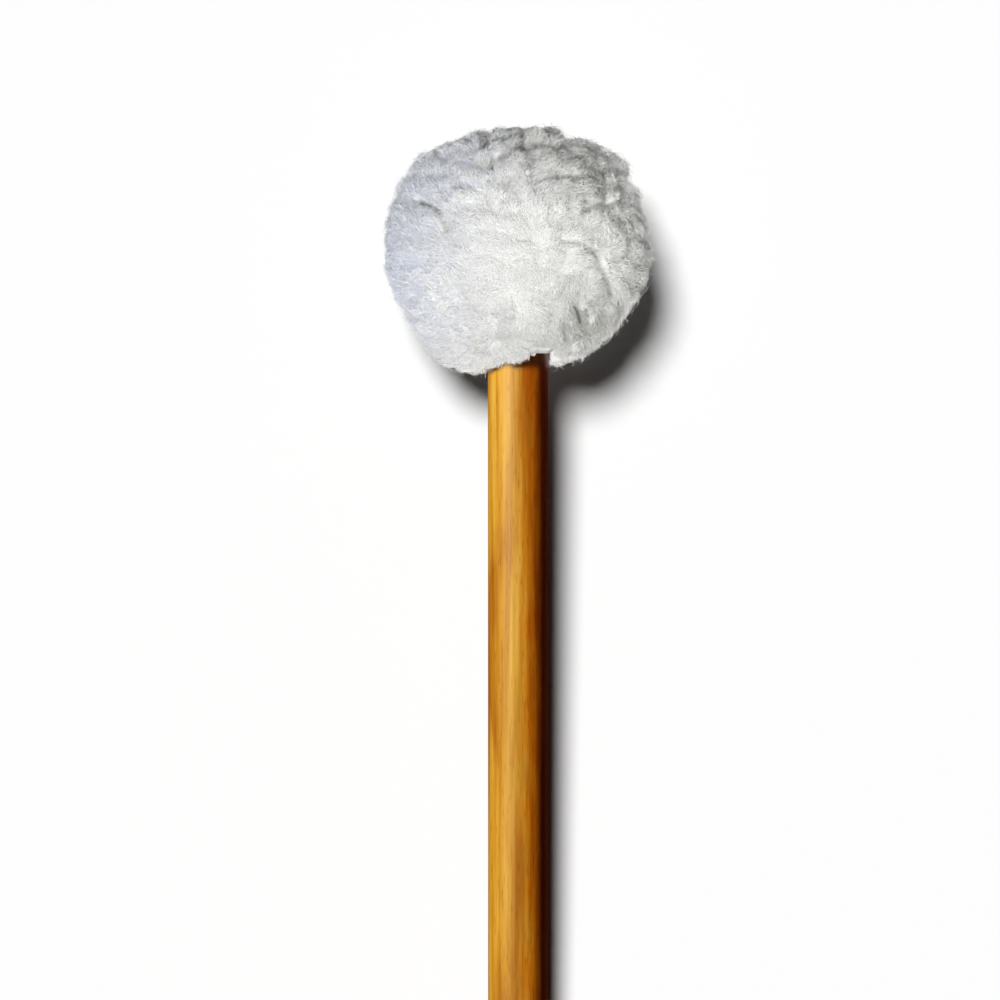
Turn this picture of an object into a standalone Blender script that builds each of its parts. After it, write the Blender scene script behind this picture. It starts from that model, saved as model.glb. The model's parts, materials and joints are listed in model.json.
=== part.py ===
"""Timpani mallet: a turned hardwood shaft with a fleece-covered ball head.

Every piece is built about the mallet's own axis, local +Z, which runs from the butt to the crown.
An empty carries the pieces and lays the mallet along +X, so that the head and the butt rest on Z = 0.
Lengths are in metres, and a height is measured along the axis from the butt's end.
"""

import math

import bpy
from mathutils import Vector

# Driving dimensions.
TOTAL_LENGTH = 0.368
SHAFT_RADIUS = 0.00635
BUTT_ROUNDING = 0.0025
HEAD_RADIUS = 0.0281
HEAD_HALF_HEIGHT = 0.0262
PILE_WALL = 0.0074
CLEARANCE = 0.0003

# The head's centre, and the room inside its fleece.
HEAD_CENTRE = TOTAL_LENGTH - HEAD_HALF_HEIGHT
POCKET_RADIUS = HEAD_RADIUS - PILE_WALL
POCKET_HALF_HEIGHT = 0.0190
FELT_RADIUS = POCKET_RADIUS - CLEARANCE
FELT_HALF_HEIGHT = POCKET_HALF_HEIGHT - CLEARANCE
FELT_THICKNESS = 0.0045
CORE_RADIUS = FELT_RADIUS - FELT_THICKNESS - CLEARANCE
CORE_HALF_HEIGHT = FELT_HALF_HEIGHT - FELT_THICKNESS - CLEARANCE

# The stack that is threaded on the tenon, from the shaft's shoulder to the crown.
SHOULDER = 0.3250
COLLAR_RADIUS = 0.0095
COLLAR_THICKNESS = 0.0015
BASE_FELT_THICKNESS = 0.0030
TENON_RADIUS = 0.00475
TENON_BORE_RADIUS = TENON_RADIUS + CLEARANCE
TENON_CHAMFER = 0.0006
COLLAR_BOTTOM = SHOULDER + CLEARANCE
COLLAR_TOP = COLLAR_BOTTOM + COLLAR_THICKNESS
BASE_FELT_BOTTOM = COLLAR_TOP + CLEARANCE
BASE_FELT_TOP = BASE_FELT_BOTTOM + BASE_FELT_THICKNESS
CORE_BOTTOM = BASE_FELT_TOP + CLEARANCE
CORE_TOP = 0.3530
CROWN_FELT_BOTTOM = CORE_TOP + CLEARANCE

# The wood screw and its washer, which clamp the core on the tenon.
COUNTERBORE_RADIUS = 0.0064
COUNTERBORE_DEPTH = 0.0042
WASHER_RADIUS = 0.0060
WASHER_HOLE_RADIUS = 0.0026
WASHER_THICKNESS = 0.0010
SCREW_HEAD_RADIUS = 0.0039
SCREW_HEAD_HEIGHT = 0.0024
SCREW_LENGTH = 0.0200
SCREW_SHANK_RADIUS = 0.0013
SCREW_POINT_LENGTH = 0.0026
THREAD_PITCH = 0.0015
THREAD_RIDGE = 0.00045
SLOT_WIDTH = 0.0009
SLOT_DEPTH = 0.0010
SCREW_TURNS = 8
SLOT_CUTTER_LENGTH = 4 * SCREW_HEAD_RADIUS
PILOT_RADIUS = 0.00215
PILOT_SPARE_DEPTH = 0.0010
COUNTERBORE_FLOOR = CORE_TOP - COUNTERBORE_DEPTH
TENON_TOP = COUNTERBORE_FLOOR - CLEARANCE
WASHER_BOTTOM = COUNTERBORE_FLOOR + CLEARANCE
WASHER_TOP = WASHER_BOTTOM + WASHER_THICKNESS
SCREW_HEAD_BOTTOM = WASHER_TOP + CLEARANCE
SCREW_TIP = SCREW_HEAD_BOTTOM - SCREW_LENGTH
PILOT_BOTTOM = SCREW_TIP - PILOT_SPARE_DEPTH

# The cover's mouth: a lip of pile round the shaft, and inside it the gathered hem with its thread.
MOUTH_RADIUS = SHAFT_RADIUS + CLEARANCE
LIP_RADIUS = 0.0030
LIP_BOTTOM = 0.3160
LIP_CENTRE_RADIUS = MOUTH_RADIUS + LIP_RADIUS
LIP_CENTRE = LIP_BOTTOM + LIP_RADIUS
HEM_THICKNESS = 0.0012
HEM_RADIUS = MOUTH_RADIUS + HEM_THICKNESS
HEM_BOTTOM = 0.3195
GROOVE_RADIUS = 0.0102
GROOVE_TOP = 0.3233
POCKET_FLOOR = 0.3245
DRAW_THREAD_RADIUS = 0.00042
DRAW_THREAD_PITCH = 0.0010
DRAW_THREAD_TURNS = 1.75
DRAW_THREAD_BOTTOM = 0.3202
KNOT_RADIUS = 0.0008

# Roundness, in segments a full turn and in points along a curved profile.
SHAFT_STEPS = 128
OUTER_STEPS = 48
INNER_STEPS = 40
SMALL_STEPS = 32
THREAD_STEPS = 16
KNOT_STEPS = 12
KNOT_RINGS = 8
ROUNDING_POINTS = 6
BASE_FELT_POINTS = 4
CORE_POINTS = 11
LINER_POINTS = 9
CROWN_POINTS = 8
SCREW_DOME_POINTS = 6
COVER_POINTS = 24
LIP_POINTS = 6
POCKET_POINTS = 14
COIL_WIRE_BEVEL = 2
RIDGE_WIRE_BEVEL = 0

# Where the cover's outer arc and its lip start and end, measured round from each one's equator.
OUTER_END = -math.radians(62)
LIP_START = -math.radians(25)
LIP_END = -math.radians(160)

# Each material's base colour, roughness and, where it is a metal, metallic value.
WOOD_LOOK = ((0.60, 0.33, 0.09), 0.3)
LEATHER_LOOK = ((0.30, 0.15, 0.07), 0.7)
MAPLE_LOOK = ((0.62, 0.44, 0.25), 0.5)
FLEECE_LOOK = ((0.80, 0.80, 0.79), 0.95)
THREAD_LOOK = ((0.72, 0.70, 0.64), 0.7)
FELT_LOOK = ((0.74, 0.72, 0.66), 0.95)
STEEL_LOOK = ((0.62, 0.63, 0.65), 0.3, 1.0)

# Closest that points may come before they are merged.
AXIS_MERGE = 0.00001
CAP_MERGE = 0.000001

# Passes that settle the resting angle, which changes less and less on each.
TILT_PASSES = 20


def clear_scene():
    for obj in list(bpy.data.objects):
        bpy.data.objects.remove(obj)


def collection(name):
    made = bpy.data.collections.new(name)
    bpy.context.scene.collection.children.link(made)
    return made


def material(name, colour, roughness, metallic=0.0):
    made = bpy.data.materials.new(name)
    made.use_nodes = True
    shader = made.node_tree.nodes["Principled BSDF"]
    shader.inputs["Base Color"].default_value = (*colour, 1.0)
    shader.inputs["Roughness"].default_value = roughness
    shader.inputs["Metallic"].default_value = metallic
    return made


def resting_tilt():
    """The angle between the axis and the floor at which the head and the butt's rounding both touch it."""
    tilt = 0.0
    for _ in range(TILT_PASSES):
        head_depth = math.hypot(HEAD_HALF_HEIGHT * math.sin(tilt), HEAD_RADIUS * math.cos(tilt))
        butt_depth = BUTT_ROUNDING + (SHAFT_RADIUS - BUTT_ROUNDING) * math.cos(tilt)
        tilt = math.asin((head_depth - butt_depth) / (HEAD_CENTRE - BUTT_ROUNDING))
    return tilt


def butt_place(tilt):
    """Where the butt's end goes, so that the mallet rests on Z = 0 with the middle of its length at X = 0."""
    rounding_centre = SHAFT_RADIUS - BUTT_ROUNDING
    height = BUTT_ROUNDING * (1 - math.sin(tilt)) + rounding_centre * math.cos(tilt)
    back = BUTT_ROUNDING * (math.cos(tilt) - 1) - rounding_centre * math.sin(tilt)
    head_reach = math.hypot(HEAD_HALF_HEIGHT * math.cos(tilt), HEAD_RADIUS * math.sin(tilt))
    front = HEAD_CENTRE * math.cos(tilt) + head_reach
    return Vector((-(front + back) / 2, 0.0, height))


def axis_empty():
    """The carrier of every piece: its local Z is the mallet's axis, and its origin is the butt's end."""
    tilt = resting_tilt()
    empty = bpy.data.objects.new("mallet_axis", None)
    empty.location = butt_place(tilt)
    empty.rotation_euler = (0.0, math.pi / 2 - tilt, 0.0)
    mallet.objects.link(empty)
    return empty


def arc(centre, half_height, radius, start, end, count, centre_radius=0.0):
    """Points (radius, height) on an ellipse, from one angle above its equator to another."""
    angles = [start + (end - start) * i / (count - 1) for i in range(count)]
    return [
        (centre_radius + radius * math.cos(a), centre + half_height * math.sin(a)) for a in angles
    ]


def cut_angle(height, half_height):
    """The angle on an ellipse about the head's centre at which it reaches a height."""
    return math.asin((height - HEAD_CENTRE) / half_height)


def turned(name, profile, base, steps, look, closed=True):
    """A solid of revolution: the profile's points are (radius, height), down the outer side first."""
    count = len(profile)
    edges = [(i, (i + 1) % count) for i in range(count if closed else count - 1)]
    mesh = bpy.data.meshes.new(name)
    mesh.from_pydata([(radius, 0.0, height - base) for radius, height in profile], edges, [])
    piece = bpy.data.objects.new(name, mesh)
    piece.location.z = base
    screw = piece.modifiers.new("Turn", "SCREW")
    screw.steps = steps
    screw.render_steps = steps
    screw.use_merge_vertices = True
    screw.merge_threshold = AXIS_MERGE
    screw.use_smooth_shade = True
    mallet.objects.link(piece)
    piece.parent = axis
    mesh.materials.append(look)
    return piece


def wire(name, points, radius, resolution):
    """A round wire with flat ends, along points of its centre line."""
    curve = bpy.data.curves.new(name, "CURVE")
    curve.dimensions = "3D"
    curve.bevel_depth = radius
    curve.bevel_resolution = resolution
    curve.use_fill_caps = True
    spline = curve.splines.new("POLY")
    spline.points.add(len(points) - 1)
    for point, place in zip(spline.points, points):
        point.co = (*place, 1.0)
    piece = bpy.data.objects.new(name, curve)
    return piece


def as_mesh(piece, where):
    """The curve object made a mesh with its caps welded on, in a collection."""
    where.objects.link(piece)
    graph = bpy.context.evaluated_depsgraph_get()
    mesh = bpy.data.meshes.new_from_object(piece.evaluated_get(graph))
    made = bpy.data.objects.new(piece.name + "_mesh", mesh)
    where.objects.link(made)
    weld = made.modifiers.new("Weld", "WELD")
    weld.merge_threshold = CAP_MERGE
    bpy.data.objects.remove(piece)
    return made


def helper(piece):
    """Hides a cutter or a shape that is joined to another, and carries it with the mallet."""
    piece.hide_render = True
    piece.display_type = "WIRE"
    piece.parent = axis
    return piece


def boolean(piece, other, operation):
    step = piece.modifiers.new(operation.title(), "BOOLEAN")
    step.operation = operation
    step.object = other
    step.solver = "EXACT"


def helix(radius, bottom, pitch, turns, steps):
    """Points along a coil about the axis that climbs from a height."""
    count = int(turns * steps) + 1
    angles = [2 * math.pi * i / steps for i in range(count)]
    return [
        (radius * math.cos(a), radius * math.sin(a), bottom + pitch * a / (2 * math.pi)) for a in angles
    ]


def make_shaft():
    """The dowel, necked down to a tenon that is bored for the screw, with a rounded butt."""
    rounding = arc(BUTT_ROUNDING, BUTT_ROUNDING, BUTT_ROUNDING, 0.0, -math.pi / 2, ROUNDING_POINTS,
                   SHAFT_RADIUS - BUTT_ROUNDING)
    profile = [
        (0.0, PILOT_BOTTOM),
        (PILOT_RADIUS, PILOT_BOTTOM),
        (PILOT_RADIUS, TENON_TOP),
        (TENON_RADIUS - TENON_CHAMFER, TENON_TOP),
        (TENON_RADIUS, TENON_TOP - TENON_CHAMFER),
        (TENON_RADIUS, SHOULDER),
        (SHAFT_RADIUS, SHOULDER),
        *rounding,
        (0.0, 0.0),
    ]
    lacquered_wood = material("lacquered_wood", *WOOD_LOOK)
    turned("shaft", profile, 0.0, SHAFT_STEPS, lacquered_wood, closed=False)


def make_leather_collar():
    profile = [
        (TENON_BORE_RADIUS, COLLAR_TOP),
        (COLLAR_RADIUS, COLLAR_TOP),
        (COLLAR_RADIUS, COLLAR_BOTTOM),
        (TENON_BORE_RADIUS, COLLAR_BOTTOM),
    ]
    leather = material("leather", *LEATHER_LOOK)
    turned("leather_collar", profile, COLLAR_BOTTOM, INNER_STEPS, leather)


def make_base_felt():
    """The ring under the core, whose edge follows the inside of the cover."""
    top = cut_angle(BASE_FELT_TOP, FELT_HALF_HEIGHT)
    bottom = cut_angle(BASE_FELT_BOTTOM, FELT_HALF_HEIGHT)
    profile = [
        (TENON_BORE_RADIUS, BASE_FELT_TOP),
        *arc(HEAD_CENTRE, FELT_HALF_HEIGHT, FELT_RADIUS, top, bottom, BASE_FELT_POINTS),
        (TENON_BORE_RADIUS, BASE_FELT_BOTTOM),
    ]
    turned("base_felt", profile, BASE_FELT_BOTTOM, INNER_STEPS, white_felt)


def make_core():
    """A ball with flat ends, bored through for the tenon and counterbored for the washer and screw."""
    top = cut_angle(CORE_TOP, CORE_HALF_HEIGHT)
    bottom = cut_angle(CORE_BOTTOM, CORE_HALF_HEIGHT)
    profile = [
        (TENON_BORE_RADIUS, COUNTERBORE_FLOOR),
        (COUNTERBORE_RADIUS, COUNTERBORE_FLOOR),
        (COUNTERBORE_RADIUS, CORE_TOP),
        *arc(HEAD_CENTRE, CORE_HALF_HEIGHT, CORE_RADIUS, top, bottom, CORE_POINTS),
        (TENON_BORE_RADIUS, CORE_BOTTOM),
    ]
    maple = material("maple", *MAPLE_LOOK)
    turned("core", profile, CORE_BOTTOM, INNER_STEPS, maple)


def make_felt_liner():
    """Hard felt round the core, between the faces of the core's flat ends."""
    outer_top = cut_angle(CORE_TOP, FELT_HALF_HEIGHT)
    outer_bottom = cut_angle(CORE_BOTTOM, FELT_HALF_HEIGHT)
    inner_half_height = CORE_HALF_HEIGHT + CLEARANCE
    inner_radius = CORE_RADIUS + CLEARANCE
    inner_bottom = cut_angle(CORE_BOTTOM, inner_half_height)
    inner_top = cut_angle(CORE_TOP, inner_half_height)
    profile = [
        *arc(HEAD_CENTRE, FELT_HALF_HEIGHT, FELT_RADIUS, outer_top, outer_bottom, LINER_POINTS),
        *arc(HEAD_CENTRE, inner_half_height, inner_radius, inner_bottom, inner_top, LINER_POINTS),
    ]
    turned("felt_liner", profile, CORE_BOTTOM, INNER_STEPS, white_felt)


def make_crown_felt():
    """The domed pad on the core's top."""
    edge = cut_angle(CROWN_FELT_BOTTOM, FELT_HALF_HEIGHT)
    dome = arc(HEAD_CENTRE, FELT_HALF_HEIGHT, FELT_RADIUS, math.pi / 2, edge, CROWN_POINTS)
    profile = [
        (0.0, dome[0][1]),
        *dome[1:],
        (0.0, CROWN_FELT_BOTTOM),
    ]
    turned("crown_felt", profile, CROWN_FELT_BOTTOM, INNER_STEPS, white_felt, closed=False)


def make_screw_washer():
    profile = [
        (WASHER_HOLE_RADIUS, WASHER_TOP),
        (WASHER_RADIUS, WASHER_TOP),
        (WASHER_RADIUS, WASHER_BOTTOM),
        (WASHER_HOLE_RADIUS, WASHER_BOTTOM),
    ]
    turned("screw_washer", profile, WASHER_BOTTOM, SMALL_STEPS, steel)


def make_head_screw():
    """A slotted round-head wood screw with a coiled thread."""
    head_top = SCREW_HEAD_BOTTOM + SCREW_HEAD_HEIGHT
    dome = arc(SCREW_HEAD_BOTTOM, SCREW_HEAD_HEIGHT, SCREW_HEAD_RADIUS, math.pi / 2, 0.0, SCREW_DOME_POINTS)
    profile = [
        (0.0, head_top),
        *dome[1:],
        (SCREW_SHANK_RADIUS, SCREW_HEAD_BOTTOM),
        (SCREW_SHANK_RADIUS, SCREW_TIP + SCREW_POINT_LENGTH),
        (0.0, SCREW_TIP),
    ]
    screw = turned("head_screw", profile, SCREW_TIP, THREAD_STEPS, steel, closed=False)
    thread_bottom = SCREW_TIP + SCREW_POINT_LENGTH
    coil = helix(SCREW_SHANK_RADIUS, thread_bottom, THREAD_PITCH, SCREW_TURNS, THREAD_STEPS)
    thread = helper(as_mesh(wire("screw_thread", coil, THREAD_RIDGE, RIDGE_WIRE_BEVEL), cutters))
    boolean(screw, thread, "UNION")
    bpy.ops.mesh.primitive_cube_add(size=1.0, location=(0.0, 0.0, head_top))
    slot = bpy.context.object
    slot.name = "screw_slot"
    slot.scale = (SLOT_CUTTER_LENGTH, SLOT_WIDTH, 2 * SLOT_DEPTH)
    for owner in list(slot.users_collection):
        owner.objects.unlink(slot)
    cutters.objects.link(slot)
    boolean(screw, helper(slot), "DIFFERENCE")


def make_fleece_cover():
    """The fleece pouch: pile outside, a pocket for the felted core, and a gathered hem inside its mouth."""
    pocket_start = -math.acos(COLLAR_RADIUS / POCKET_RADIUS)
    outer = arc(HEAD_CENTRE, HEAD_HALF_HEIGHT, HEAD_RADIUS, math.pi / 2, OUTER_END, COVER_POINTS)
    lip = arc(LIP_CENTRE, LIP_RADIUS, LIP_RADIUS, LIP_START, LIP_END, LIP_POINTS, LIP_CENTRE_RADIUS)
    pocket = arc(HEAD_CENTRE, POCKET_HALF_HEIGHT, POCKET_RADIUS, pocket_start, math.pi / 2, POCKET_POINTS)
    profile = [
        (0.0, TOTAL_LENGTH),
        *outer[1:],
        *lip,
        (LIP_CENTRE_RADIUS - LIP_RADIUS, HEM_BOTTOM - 2 * CLEARANCE),
        (GROOVE_RADIUS, HEM_BOTTOM),
        (GROOVE_RADIUS, GROOVE_TOP),
        (HEM_RADIUS, GROOVE_TOP),
        (HEM_RADIUS, HEM_BOTTOM),
        (MOUTH_RADIUS, HEM_BOTTOM),
        (MOUTH_RADIUS, POCKET_FLOOR),
        (COLLAR_RADIUS, POCKET_FLOOR),
        *pocket[:-1],
        (0.0, HEAD_CENTRE + POCKET_HALF_HEIGHT),
    ]
    fleece = material("white_fleece", *FLEECE_LOOK)
    turned("fleece_cover", profile, HEAD_CENTRE, OUTER_STEPS, fleece, closed=False)


def make_draw_thread():
    """Thread wound round the hem, with a knot on its last turn."""
    coil_radius = HEM_RADIUS + CLEARANCE + DRAW_THREAD_RADIUS
    coil = helix(coil_radius, DRAW_THREAD_BOTTOM, DRAW_THREAD_PITCH, DRAW_THREAD_TURNS, INNER_STEPS)
    thread = as_mesh(wire("draw_thread", coil, DRAW_THREAD_RADIUS, COIL_WIRE_BEVEL), mallet)
    thread.name = "draw_thread"
    thread.parent = axis
    thread.data.materials.append(material("waxed_thread", *THREAD_LOOK))
    knot_place = (0.0, -(HEM_RADIUS + CLEARANCE + KNOT_RADIUS), coil[-1][2])
    bpy.ops.mesh.primitive_uv_sphere_add(
        segments=KNOT_STEPS, ring_count=KNOT_RINGS, radius=KNOT_RADIUS, location=knot_place)
    knot = bpy.context.object
    knot.name = "knot"
    for owner in list(knot.users_collection):
        owner.objects.unlink(knot)
    cutters.objects.link(knot)
    boolean(thread, helper(knot), "UNION")


clear_scene()
mallet = collection("timpani_mallet")
cutters = collection("cutters")
axis = axis_empty()
white_felt = material("white_felt", *FELT_LOOK)
steel = material("zinc_plated_steel", *STEEL_LOOK)
make_shaft()
make_leather_collar()
make_base_felt()
make_core()
make_felt_liner()
make_crown_felt()
make_screw_washer()
make_head_screw()
make_fleece_cover()
make_draw_thread()
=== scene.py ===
"""Looks for the timpani mallet: a lacquered wooden shaft and a ball head of white curly fleece.

The mallet's own axes are used throughout: s along the shaft from the butt, u up and away from the
floor, v across. Lengths are in metres.
"""

import json
import math

import bpy
import numpy as np
from mathutils import Matrix, Vector, noise

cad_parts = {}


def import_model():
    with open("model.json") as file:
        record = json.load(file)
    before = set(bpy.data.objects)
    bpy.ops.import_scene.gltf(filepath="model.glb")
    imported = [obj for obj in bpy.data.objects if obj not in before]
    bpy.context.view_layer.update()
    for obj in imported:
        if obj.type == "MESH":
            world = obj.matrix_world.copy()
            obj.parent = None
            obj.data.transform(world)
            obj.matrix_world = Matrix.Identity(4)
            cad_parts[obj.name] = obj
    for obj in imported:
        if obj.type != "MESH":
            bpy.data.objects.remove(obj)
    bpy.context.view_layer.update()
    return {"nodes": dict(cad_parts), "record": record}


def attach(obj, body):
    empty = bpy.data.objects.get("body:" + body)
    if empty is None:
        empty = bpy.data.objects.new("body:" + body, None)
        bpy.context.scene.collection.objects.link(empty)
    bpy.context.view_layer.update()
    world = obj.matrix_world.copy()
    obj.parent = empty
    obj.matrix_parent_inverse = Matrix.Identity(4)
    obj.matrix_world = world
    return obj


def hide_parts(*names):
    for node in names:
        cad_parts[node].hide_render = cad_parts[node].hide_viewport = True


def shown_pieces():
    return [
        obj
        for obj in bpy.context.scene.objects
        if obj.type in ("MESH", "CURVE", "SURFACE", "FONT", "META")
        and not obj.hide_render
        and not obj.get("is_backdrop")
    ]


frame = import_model()

# ---------------------------------------------------------------- the mallet's axes, read from the frame
MOUNTS = {mount["name"]: mount for mount in frame["record"]["mounts"]}
BUTT = np.array(MOUNTS["butt_end"]["pos_m"])
ALONG = -np.array(MOUNTS["butt_end"]["axis"])
ALONG /= np.linalg.norm(ALONG)
ACROSS = np.array([0.0, -1.0, 0.0])
UP = np.cross(ACROSS, ALONG)
AXES = np.stack([ALONG, UP, ACROSS])


def own(points):
    """World points as (s, u, v) in the mallet's own axes."""
    return (np.asarray(points) - BUTT) @ AXES.T


def world(points):
    """Points (s, u, v) in world coordinates."""
    return BUTT + np.asarray(points) @ AXES


def measure(node):
    """(lowest s, highest s, largest distance from the axis) of a CAD node."""
    mesh = frame["nodes"][node].data
    places = np.empty(len(mesh.vertices) * 3)
    mesh.vertices.foreach_get("co", places)
    places = own(places.reshape(-1, 3))
    return places[:, 0].min(), places[:, 0].max(), np.hypot(places[:, 1], places[:, 2]).max()


CROWN, HEAD_RADIUS = measure("fleece_cover")[1:]
SHAFT_RADIUS = measure("shaft")[2]
HEAD_HALF_HEIGHT = 0.0262
HEAD_CENTRE = CROWN - HEAD_HALF_HEIGHT

MM = 0.001
rng = np.random.default_rng(7)


def add_object(name, data):
    made = bpy.data.objects.new(name, data)
    bpy.context.scene.collection.objects.link(made)
    return made


# ---------------------------------------------------------------- camera, floor and light
FIELD = 0.210
LENS = 100.0
SENSOR = 36.0
HEAD_ABOVE_CENTRE = 0.0526
AXIS_RIGHT_OF_CENTRE = 0.0038
FLOOR_SIZE = 12.0
FLOOR_COLOUR = (0.5, 0.5, 0.5, 1.0)
FLOOR_ROUGHNESS = 0.9
ROOM_COLOUR = (0.008, 0.008, 0.008, 1.0)
BACKDROP_COLOUR = (1.0, 1.0, 1.0, 1.0)
DIFFUSE_BOUNCES = 8
ALL_BOUNCES = 12
LIGHT_DISTANCE = 1.3
WHITE = (1.0, 1.0, 1.0)
# Disc lights: name, the direction that it shines from, watts, width, colour, and whether the gloss shows it.
STICK_LIGHTS = [
    ("key", (0.14, 0.60, 0.80), 21.0, 0.22, (1.0, 0.985, 0.96), True),
    ("stick_fill", (0.1, -1.0, 0.1), 0.5, 0.8, (1.0, 0.26, 0.08), False),
    ("stick_bounce", (0.0, -0.5, -1.0), 3.5, 1.4, (1.0, 0.62, 0.42), False),
    ("butt_light", (-1.0, 0.25, -0.05), 3.0, 0.6, WHITE, False),
]
HEAD_LIGHTS = [
    ("head_key", (-0.26, 0.12, 1.0), 34.0, 0.45, (1.0, 1.0, 0.985), True),
    ("left_fill", (-0.10, 1.0, 0.0), 0.6, 0.8, (0.46, 0.54, 1.0), True),
    ("right_fill", (-0.20, -1.0, 0.10), 0.35, 0.8, (1.0, 0.84, 0.62), True),
    ("crown_bounce", (1.0, -0.2, -1.5), 8.5, 0.6, WHITE, True),
    ("right_bounce", (0.2, -1.0, -1.3), 4.0, 0.6, (1.0, 0.97, 0.92), True),
    ("left_bounce", (-0.1, 1.0, -1.2), 3.6, 0.6, (0.86, 0.90, 1.0), True),
    ("back_bounce", (-1.0, 0.0, -1.1), 3.0, 0.6, WHITE, True),
]
FLOOR_SUN_FROM = (0.25, 0.19, 1.0)
FLOOR_SUN_STRENGTH = 6.47
FLOOR_SUN_ANGLE = 0.28


def make_camera():
    """Straight above the floor, with the shaft running down the picture."""
    head = world([HEAD_CENTRE, 0.0, 0.0])
    camera = add_object("camera", bpy.data.cameras.new("camera"))
    camera.data.lens = LENS
    camera.data.sensor_width = SENSOR
    distance = FIELD * LENS / SENSOR
    place = Vector((head[0] - HEAD_ABOVE_CENTRE, AXIS_RIGHT_OF_CENTRE, head[2] + distance))
    turn = Matrix(((0, 1, 0), (-1, 0, 0), (0, 0, 1))).to_4x4()
    camera.matrix_world = Matrix.Translation(place) @ turn
    bpy.context.scene.camera = camera


def make_floor():
    """A plain pale floor. It shows the shadows, but throws no light or shadow on the mallet."""
    bpy.ops.mesh.primitive_plane_add(size=FLOOR_SIZE, location=(0.0, 0.0, 0.0))
    floor = bpy.context.object
    floor.name = "floor"
    floor.visible_diffuse = False
    floor.visible_glossy = False
    floor.visible_shadow = False
    look, _, shader = new_material("floor")
    shader.inputs["Base Color"].default_value = FLOOR_COLOUR
    shader.inputs["Roughness"].default_value = FLOOR_ROUGHNESS
    shader.inputs["Specular IOR Level"].default_value = 0.0
    floor.data.materials.append(look)
    floor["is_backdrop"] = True
    return floor


def collected(name, objects):
    """A collection of objects that a light is linked to."""
    made = bpy.data.collections.new(name)
    for item in objects:
        made.objects.link(item)
    return made


def light(name, kind, direction, power, lit, **settings):
    """A light aimed at the head from a direction; it lights only the objects of one collection."""
    data = bpy.data.lights.new(name, kind)
    data.energy = power
    for setting, value in settings.items():
        setattr(data, setting, value)
    made = add_object(name, data)
    direction = Vector(direction).normalized()
    made.location = Vector(world([HEAD_CENTRE, 0.0, 0.0])) + direction * LIGHT_DISTANCE
    made.rotation_euler = (-direction).to_track_quat("-Z", "Y").to_euler()
    made.light_linking.receiver_collection = lit
    return made


def make_lights(floor, fleece):
    """Soft lights for the shaft, for the head and for the floor, each kept to its own.

    The ones from below stand in for the light that a pale floor throws back.
    """
    head = collected("lit_head", fleece)
    stick = collected("lit_stick", [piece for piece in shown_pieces() if piece not in fleece])
    stage = collected("lit_floor", [floor])
    for lit, lights in ((stick, STICK_LIGHTS), (head, HEAD_LIGHTS)):
        for name, direction, watts, width, colour, glints in lights:
            made = light(name, "AREA", direction, watts, lit, shape="DISK", size=width, color=colour)
            made.visible_glossy = glints
    light("floor_light", "SUN", FLOOR_SUN_FROM, FLOOR_SUN_STRENGTH, stage, angle=FLOOR_SUN_ANGLE)


def make_room():
    """A dim even room, which the camera sees as a white backdrop."""
    room = bpy.data.worlds.new("room")
    room.use_nodes = True
    tree = room.node_tree
    background = tree.nodes["Background"]
    background.inputs["Color"].default_value = ROOM_COLOUR
    backdrop = tree.nodes.new("ShaderNodeBackground")
    backdrop.inputs["Color"].default_value = BACKDROP_COLOUR
    ray = tree.nodes.new("ShaderNodeLightPath")
    mix = tree.nodes.new("ShaderNodeMixShader")
    tree.links.new(ray.outputs["Is Camera Ray"], mix.inputs["Fac"])
    tree.links.new(background.outputs["Background"], mix.inputs[1])
    tree.links.new(backdrop.outputs["Background"], mix.inputs[2])
    tree.links.new(mix.outputs["Shader"], tree.nodes["World Output"].inputs["Surface"])
    bpy.context.scene.world = room
    bpy.context.scene.view_settings.view_transform = "Standard"
    bpy.context.scene.cycles.diffuse_bounces = DIFFUSE_BOUNCES
    bpy.context.scene.cycles.max_bounces = ALL_BOUNCES


# ---------------------------------------------------------------- materials
# Noise patterns: repeats a metre along, up and across the mallet, then detail, roughness and distortion.
STREAKS = ((26.0, 900.0, 900.0), 3.0, 0.55, 0.3)
MOTTLE = ((30.0, 210.0, 210.0), 2.0, 0.5, 0.6)
FLECKS = ((260.0, 2600.0, 2600.0), 1.0, 0.5, 0.0)
# The last noise wanders the edge of the painted shade along the shaft's side away from the key light.
SHADE_SIDE_PATCHES = ((110.0, 420.0, 420.0), 3.0, 0.6, 0.5)
# Ramps: (position, colour).
STREAK_RAMP = [(0.30, (0.50, 0.205, 0.010)), (0.50, (0.62, 0.30, 0.020)), (0.70, (0.72, 0.40, 0.050))]
MOTTLE_RAMP = [(0.32, (0.72, 0.54, 0.34)), (0.50, (0.96, 0.92, 0.84)), (0.68, (1.06, 1.10, 1.25))]
FLECK_RAMP = [(0.30, (0.62, 0.42, 0.25)), (0.40, (1.0, 1.0, 1.0))]
FLECK_SHARE = 0.5
# Painted shade: the ramp and wander of the darker, redder tone on the shaft's side away from the key light.
SHADE_SIDE_RAMP = [(0.30, (0.78, 0.30, 0.06)), (0.54, (1.06, 0.66, 0.12)), (0.76, (1.0, 1.0, 1.0))]
SHADE_SIDE_WANDER = 0.5
RINGS_A_METRE = 250.0
RING_DISTORTION = 1.2
RING_DETAIL = 3.0
END_GRAIN_RAMP = [(0.2, (0.50, 0.25, 0.06)), (0.8, (0.34, 0.15, 0.03))]
END_GRAIN_FACING = (0.80, 0.97)
LACQUER_ROUGHNESS = (0.42, 0.52)
LACQUER_TINT = (1.0, 0.90, 0.70, 1.0)
GRAIN_RELIEF = 0.25
GRAIN_DEPTH = 0.05 * MM
GRAIN_NOISE_DETAIL = 4.0
GRAIN_STOPS = (0.3, 0.7)
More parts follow.
